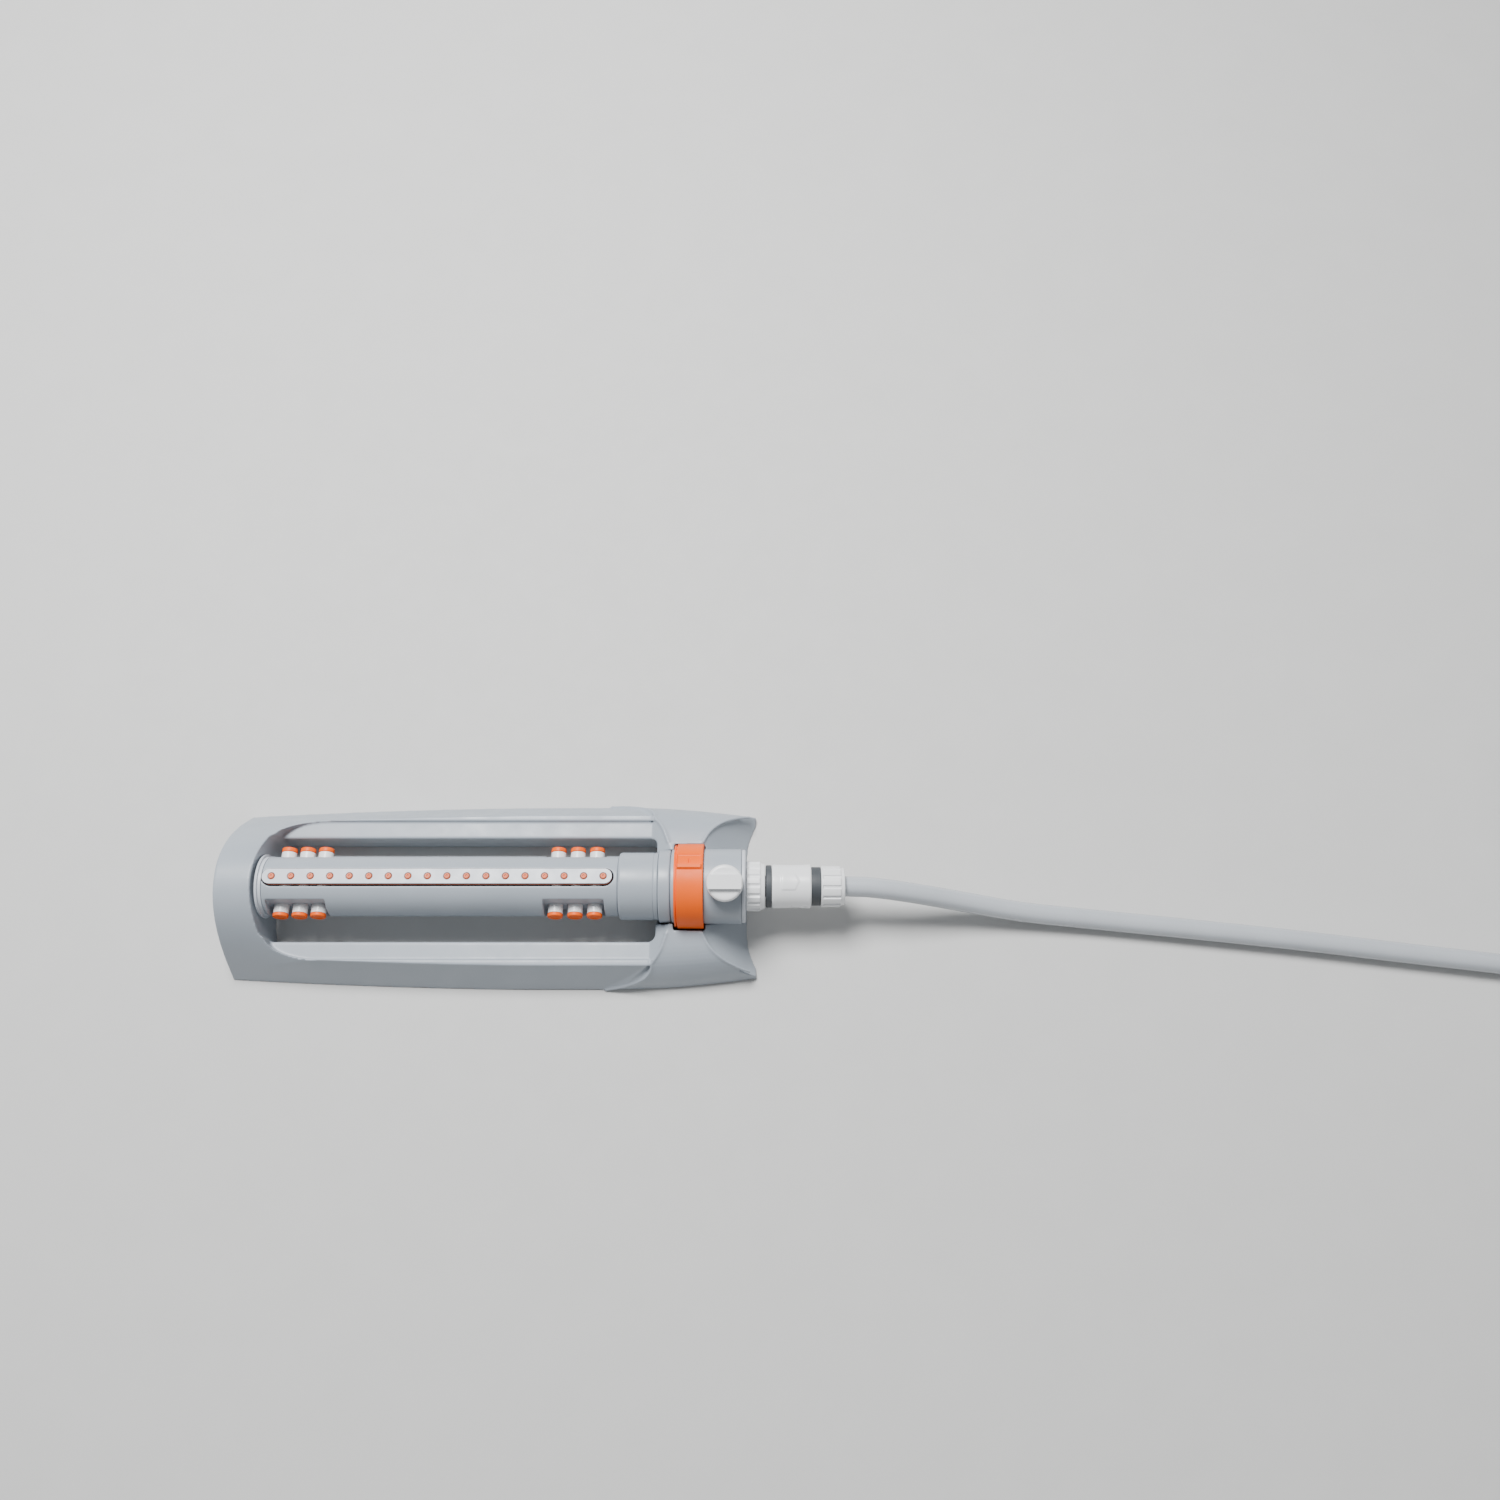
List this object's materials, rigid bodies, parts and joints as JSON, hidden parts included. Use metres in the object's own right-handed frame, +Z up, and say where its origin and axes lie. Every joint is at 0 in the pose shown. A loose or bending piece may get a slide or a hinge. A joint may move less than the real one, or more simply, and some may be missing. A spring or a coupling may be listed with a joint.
{
  "type": "oscillating sprinkler",
  "caption": "Oscillating lawn sprinkler: a slotted base carries a swinging spray tube with a nozzle strip, a turbine gear drive, a range ring, a flow knob and a hose with quick connectors.",
  "frame": {"origin": "centre of the sprinkler's footprint on the ground, without the hose and its connectors", "axes": "+X along the spray tube's axis towards the hose, +Y to the back, +Z up"},
  "size_m": [1.3105, 0.25, 0.103],
  "materials": {
    "grey_plastic": "satin, fine moulded grain",
    "light_grey_plastic": "satin",
    "white_plastic": "semi-gloss",
    "orange_plastic": "semi-gloss",
    "orange_rubber": "matt",
    "dark_soft_plastic": "matt, soft to the touch",
    "black_rubber": "matt",
    "acetal": "satin",
    "stainless_steel": "brushed",
    "hose_vinyl": "semi-gloss vinyl"
  },
  "bodies": {
    "base": {"base_frame": "grey_plastic", "end_bearing_bush": "acetal", "drive_front_cover": "grey_plastic", "housing_body": "grey_plastic", "housing_end_cap": "grey_plastic", "filter_screen": "stainless_steel", "gear_plate_left": "grey_plastic", "gear_plate_right": "grey_plastic", "jet_plate": "acetal", "layshaft_pin": "stainless_steel", "turbine_shaft": "stainless_steel", "trip_pin": "stainless_steel", "valve_bonnet": "grey_plastic", "tap_adaptor": "white_plastic", "adaptor_o_ring": "black_rubber", "connector_body": "dark_soft_plastic", "hose_run": "hose_vinyl", "hose_coil": "hose_vinyl", "hose_tail": "hose_vinyl", "far_connector_body": "dark_soft_plastic", "far_connector_sleeve": "white_plastic", "far_connector_nut": "white_plastic"},
    "spray_tube": {"tube_shell": "grey_plastic", "nozzle_cover_strip": "light_grey_plastic", "nozzle_strip": "orange_rubber", "tube_end_cap": "grey_plastic", "tube_sleeve": "grey_plastic", "output_shaft": "acetal", "output_gear": "acetal"},
    "pin_1": {"shutoff_pin_1": "white_plastic", "pin_cap_front_1": "orange_plastic", "pin_cap_back_1": "orange_plastic"},
    "pin_2": {"shutoff_pin_2": "white_plastic", "pin_cap_front_2": "orange_plastic", "pin_cap_back_2": "orange_plastic"},
    "pin_3": {"shutoff_pin_3": "white_plastic", "pin_cap_front_3": "orange_plastic", "pin_cap_back_3": "orange_plastic"},
    "pin_4": {"shutoff_pin_4": "white_plastic", "pin_cap_front_4": "orange_plastic", "pin_cap_back_4": "orange_plastic"},
    "pin_5": {"shutoff_pin_5": "white_plastic", "pin_cap_front_5": "orange_plastic", "pin_cap_back_5": "orange_plastic"},
    "pin_6": {"shutoff_pin_6": "white_plastic", "pin_cap_front_6": "orange_plastic", "pin_cap_back_6": "orange_plastic"},
    "gear_1": {"reduction_gear_1": "acetal"},
    "gear_2": {"reduction_gear_2": "acetal"},
    "gear_3": {"reduction_gear_3": "acetal"},
    "turbine": {"turbine_wheel": "orange_plastic", "turbine_pinion": "acetal"},
    "trip": {"trip_lever": "orange_plastic"},
    "ring": {"range_ring": "orange_plastic"},
    "valve": {"flow_knob": "white_plastic", "valve_stem": "acetal"},
    "coupling_sleeve": {"connector_sleeve": "white_plastic"},
    "coupling_nut": {"connector_nut": "white_plastic"}
  },
  "joints": [
    {"name": "turbine_spin", "type": "hinge", "parent": "base", "child": "turbine", "pos_m": [0.15, 0, 0.04], "axis": [1, 0, 0], "range_deg": [-1523, 1992]},
    {"name": "tube_swing", "type": "hinge", "parent": "base", "child": "spray_tube", "pos_m": [0, 0, 0.04], "axis": [1, 0, 0], "range_deg": [-39, 51]},
    {"name": "pin_1_slide", "type": "slide", "parent": "spray_tube", "child": "pin_1", "axis": [0, -0.9945, 0.1045], "range_m": [0, 0.0075]},
    {"name": "pin_2_slide", "type": "slide", "parent": "spray_tube", "child": "pin_2", "axis": [0, -0.9945, 0.1045], "range_m": [0, 0.0075]},
    {"name": "pin_3_slide", "type": "slide", "parent": "spray_tube", "child": "pin_3", "axis": [0, -0.9945, 0.1045], "range_m": [0, 0.0075]},
    {"name": "pin_4_slide", "type": "slide", "parent": "spray_tube", "child": "pin_4", "axis": [0, -0.9945, 0.1045], "range_m": [0, 0.0075]},
    {"name": "pin_5_slide", "type": "slide", "parent": "spray_tube", "child": "pin_5", "axis": [0, -0.9945, 0.1045], "range_m": [0, 0.0075]},
    {"name": "pin_6_slide", "type": "slide", "parent": "spray_tube", "child": "pin_6", "axis": [0, -0.9945, 0.1045], "range_m": [0, 0.0075]},
    {"name": "gear_1_spin", "type": "hinge", "parent": "base", "child": "gear_1", "pos_m": [0.144, 0, 0.0295], "axis": [1, 0, 0], "range_deg": [-800, 800]},
    {"name": "gear_2_spin", "type": "hinge", "parent": "base", "child": "gear_2", "pos_m": [0.141, 0, 0.04], "axis": [1, 0, 0], "range_deg": [-320, 320]},
    {"name": "gear_3_spin", "type": "hinge", "parent": "base", "child": "gear_3", "pos_m": [0.138, 0, 0.0295], "axis": [1, 0, 0], "range_deg": [-130, 130]},
    {"name": "trip_rock", "type": "hinge", "parent": "base", "child": "trip", "pos_m": [0.155, 0, 0.06], "axis": [1, 0, 0], "range_deg": [-12, 12]},
    {"name": "ring_turn", "type": "hinge", "parent": "base", "child": "ring", "pos_m": [0.145, 0, 0.04], "axis": [1, 0, 0], "range_deg": [-40, 40]},
    {"name": "knob_turn", "type": "hinge", "parent": "base", "child": "valve", "pos_m": [0.1743, 0, 0.04], "axis": [0, -0.1564, 0.9877], "range_deg": [0, 90]},
    {"name": "sleeve_pull", "type": "slide", "parent": "base", "child": "coupling_sleeve", "axis": [1, 0, 0], "range_m": [0, 0.004]},
    {"name": "nut_turn", "type": "hinge", "parent": "base", "child": "coupling_nut", "pos_m": [0.26, 0, 0.04], "axis": [1, 0, 0], "range_deg": [-180, 180]}
  ],
  "couplings": [
    {"joint": "gear_1_spin", "follows": "turbine_spin", "ratio": -0.4},
    {"joint": "gear_2_spin", "follows": "turbine_spin", "ratio": 0.16},
    {"joint": "gear_3_spin", "follows": "turbine_spin", "ratio": -0.064},
    {"joint": "tube_swing", "follows": "turbine_spin", "ratio": 0.0256}
  ]
}
